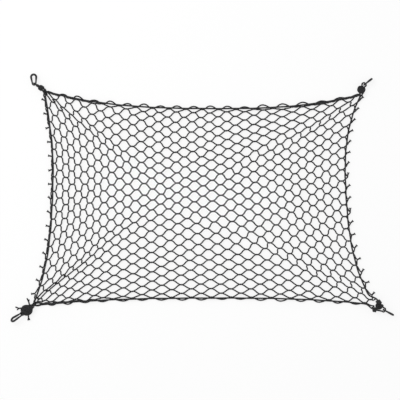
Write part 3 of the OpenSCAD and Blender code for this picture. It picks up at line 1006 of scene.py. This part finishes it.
for corner in EYES:
    points = eye_in_knots() if corner == "br" else eye_in_binding(corner)
    path = eased(smooth_curve(points, 5), 2)
    cord_piece(f"corner_eye_{corner}_braided", [(path, LOOP_R)], loop_braid, "eye_cord", "root",
               f"corner_eye_{corner}", sides=14)


# %% Loops
def loop_path(corner):
    """The closed centre line of a corner loop."""
    eye = EYES[corner]
    bow_x = eye["reach"] - BOW_R - LOOP_R
    slant = math.asin((BOW_R - INNER_R) / bow_x)
    roll = math.radians(eye["roll"])
    out = level(eye["loop"])
    aside = math.sin(roll) * sideways(eye["loop"]) + math.cos(roll) * UP
    flat = []
    for t in np.linspace(math.pi / 2 + slant, 3 * math.pi / 2 - slant, 13):
        flat.append((INNER_R * math.cos(t), INNER_R * math.sin(t)))
    for t in np.linspace(-math.pi / 2 - slant, math.pi / 2 + slant, 17):
        flat.append((bow_x + BOW_R * math.cos(t), BOW_R * math.sin(t)))
    flat = np.array(flat)
    limb_a = flat[12] + (flat[13] - flat[12]) * np.linspace(0, 1, 7)[1:-1, None]
    limb_b = flat[-1] + (flat[0] - flat[-1]) * np.linspace(0, 1, 7)[1:-1, None]
    flat = np.vstack([flat[:13], limb_a, flat[13:], limb_b])
    return eye["bar"] + flat[:, :1] * out + flat[:, 1:] * aside


for corner in EYES:
    path = loop_path(corner)
    from_bar = np.linalg.norm(path - EYES[corner]["bar"], axis=1)
    radius = np.interp(from_bar, (8, 14), (LOOP_R, FREE_BOW_R))
    cord_piece(f"corner_loop_{corner}_braided", [(path, radius, True)], loop_braid,
               "loop_cord", f"loop_{corner}", f"corner_loop_{corner}", sides=16)

# %% [markdown]
# ## Bindings and knots
#
# The bundle at three corners is bound with twine: a tight helix of turns round the legs of
# the eye and the edge cords, with both ends tucked under. The bundle isn't round, so the
# helix is a little wider than it is high. At the top left the turns run on up the neck of the
# eye. At the fourth corner each edge cord is tied to a leg of the eye with a small round
# stopper knot, and one more small knot sits on a leg.

# %% Wind the bindings
TWINE_R = 1.05
WINDING_STEPS = 22
WANDER = 0.22
TUCKED = 0.72
WHIPPING = dict(wide=6.3, high=5.6, turns=4.6, pitch=2.25)
NECK = dict(wide=2.7, high=6.4, turns=4.2, pitch=2.0)
NECK_AT = 12.0


def winding(middle, way, wide, high, turns, pitch, seed):
    """A helix round a bundle, a little uneven from turn to turn."""
    side = np.cross(UP, way)
    count = int(turns * WINDING_STEPS)
    t = np.arange(count + 1) / WINDING_STEPS
    places = np.arange(math.ceil(turns) + 1)
    wander = np.random.default_rng(seed).normal(0, WANDER, len(places))
    wander = np.interp(t, places, wander)
    shrink = np.minimum(1, TUCKED + (1 - TUCKED) * np.minimum(t, turns - t) * 3)
    angle = 2 * math.pi * t
    along = (t - turns / 2) * pitch + wander
    return (middle + along[:, None] * way + (wide * shrink * np.cos(angle))[:, None] * side
            + (high * shrink * np.sin(angle))[:, None] * UP)


for k, corner in enumerate(("tl", "tr", "bl")):
    middle, way = binding(corner)
    runs = [(winding(middle, way, **WHIPPING, seed=11 + k), TWINE_R)]
    if corner == "tl":
        neck = EYES[corner]["bar"] - NECK_AT * way
        runs.append((winding(neck, way, **NECK, seed=15), TWINE_R))
    cord_piece(f"corner_whipping_{corner}_twine", runs, binding_twine, "twine", "root",
               f"corner_whipping_{corner}")

# %% [markdown]
# A stopper knot is a barrel of turns with the cord's own end crossing over them. It is made
# of the same helix, wound twice: once as the barrel and once, looser, as the crossing part.

# %% Tie the knots
END_KNOT = dict(radius=4.7, cord_r=1.6, turns=3.2, pitch=2.9)
EYE_KNOT = dict(radius=4.0, cord_r=1.5, turns=2.4, pitch=2.6)


def stopper(name, node, middle, way, seed, radius, cord_r, turns, pitch):
    """A round knot: a barrel of turns and a slanting bight over it."""
    barrel = winding(middle, way, radius, radius, turns, pitch, seed)
    side = np.cross(UP, way)
    t = np.linspace(0, 2 * math.pi, 25)[:-1, None]
    over = (middle + (radius + 0.9 * cord_r) * (np.cos(t) * side * 0.86 + np.sin(t) * UP * 0.9)
            + 0.42 * turns * pitch * np.sin(t + 0.8) * way)
    cord_piece(name, [(barrel, cord_r), (over, cord_r, True)], edge_braid, "twine", "root", node)


for k, (knot, place) in enumerate(KNOTS.items()):
    stopper(f"end_knot_{knot}_tied", f"end_knot_{knot}", place["at"], level(place["way"]),
            21 + k, **END_KNOT)
leg = np.array(eye_in_knots()[:4])
bend = joined(leg[:2], leg[2:], 6)
stopper("eye_knot_br_tied", "eye_knot_br", bend[2], unit(bend[3] - bend[1]), 31, **EYE_KNOT)
print("eye knot at, mm:", bend[2].round(1))

# %% [markdown]
# ## Gathered net at the corners
#
# At the bottom left the last strands are bunched into a wad round the binding, and three cut
# tails stand out of it. The two corners at the right have smaller ones. A wad is one strand
# wound round and round a flattened ball while the ball's axis slowly turns, as a hank is.

# %% Wads and cut tails
WADS = {
    "bl": dict(middle=(-438.0, -280.5, 8.2), half=(14.0, 12.5, 5.6), turns=26, seed=41),
    "br": dict(middle=(441.5, -270.5, 8.0), half=(8.5, 7.5, 5.0), turns=5, seed=43),
    "tr": dict(middle=(397.5, 270.5, 8.0), half=(9.4, 9.0, 5.6), turns=6, seed=42),
}
TAILS_BL = (
    dict(root=(-449.0, -275.5), tips=((-466.0, -273.0), (-462.0, -280.0)), z=7.0),
    dict(root=(-431.0, -269.0), tips=((-437.5, -251.5), (-432.5, -254.5)), z=7.0),
    dict(root=(-434.8, -290.0), tips=((-435.5, -306.0), (-431.5, -305.0)), z=5.0),
)


def wad(middle, half, turns, seed):
    """A strand wound round a flattened ball, in mm."""
    t = np.linspace(0, 2 * math.pi * turns, int(turns * 20))
    tilt = 1.1 * np.sin(t * 0.231 + 1) + np.random.default_rng(seed).normal(0, 0.02, len(t))
    swing = t * 0.37
    x, y, z = np.cos(t), np.sin(t) * np.cos(tilt), np.sin(t) * np.sin(tilt)
    turned = np.column_stack([x * np.cos(swing) - y * np.sin(swing),
                              x * np.sin(swing) + y * np.cos(swing), z])
    reach = 0.3 + 0.7 * np.sin(t * 0.113 + 0.9) ** 2
    return np.array(middle) + turned * reach[:, None] * np.array(half)


def tail(root, tips, z):
    """A cut joint standing out of a wad, forked at its tip."""
    runs = []
    fork = 0.45 * np.array(root) + 0.55 * np.array(tips).mean(axis=0)
    for k, tip in enumerate(tips):
        path = smooth_curve([(*root, z), (*fork, z + 0.4), (*tip, z - 0.5 + 0.6 * k)], 5)
        runs.append(melted_end(path, np.full(len(path), STRAND_R), False))
    return runs


for corner, ball in WADS.items():
    runs = [(wad(**ball), STRAND_R)]
    if corner == "bl":
        for cut in TAILS_BL:
            runs += tail(**cut)
    cord_piece(f"gathered_net_{corner}", runs, mesh_yarn, "mesh_yarn", "root", "netting",
               sides=8)
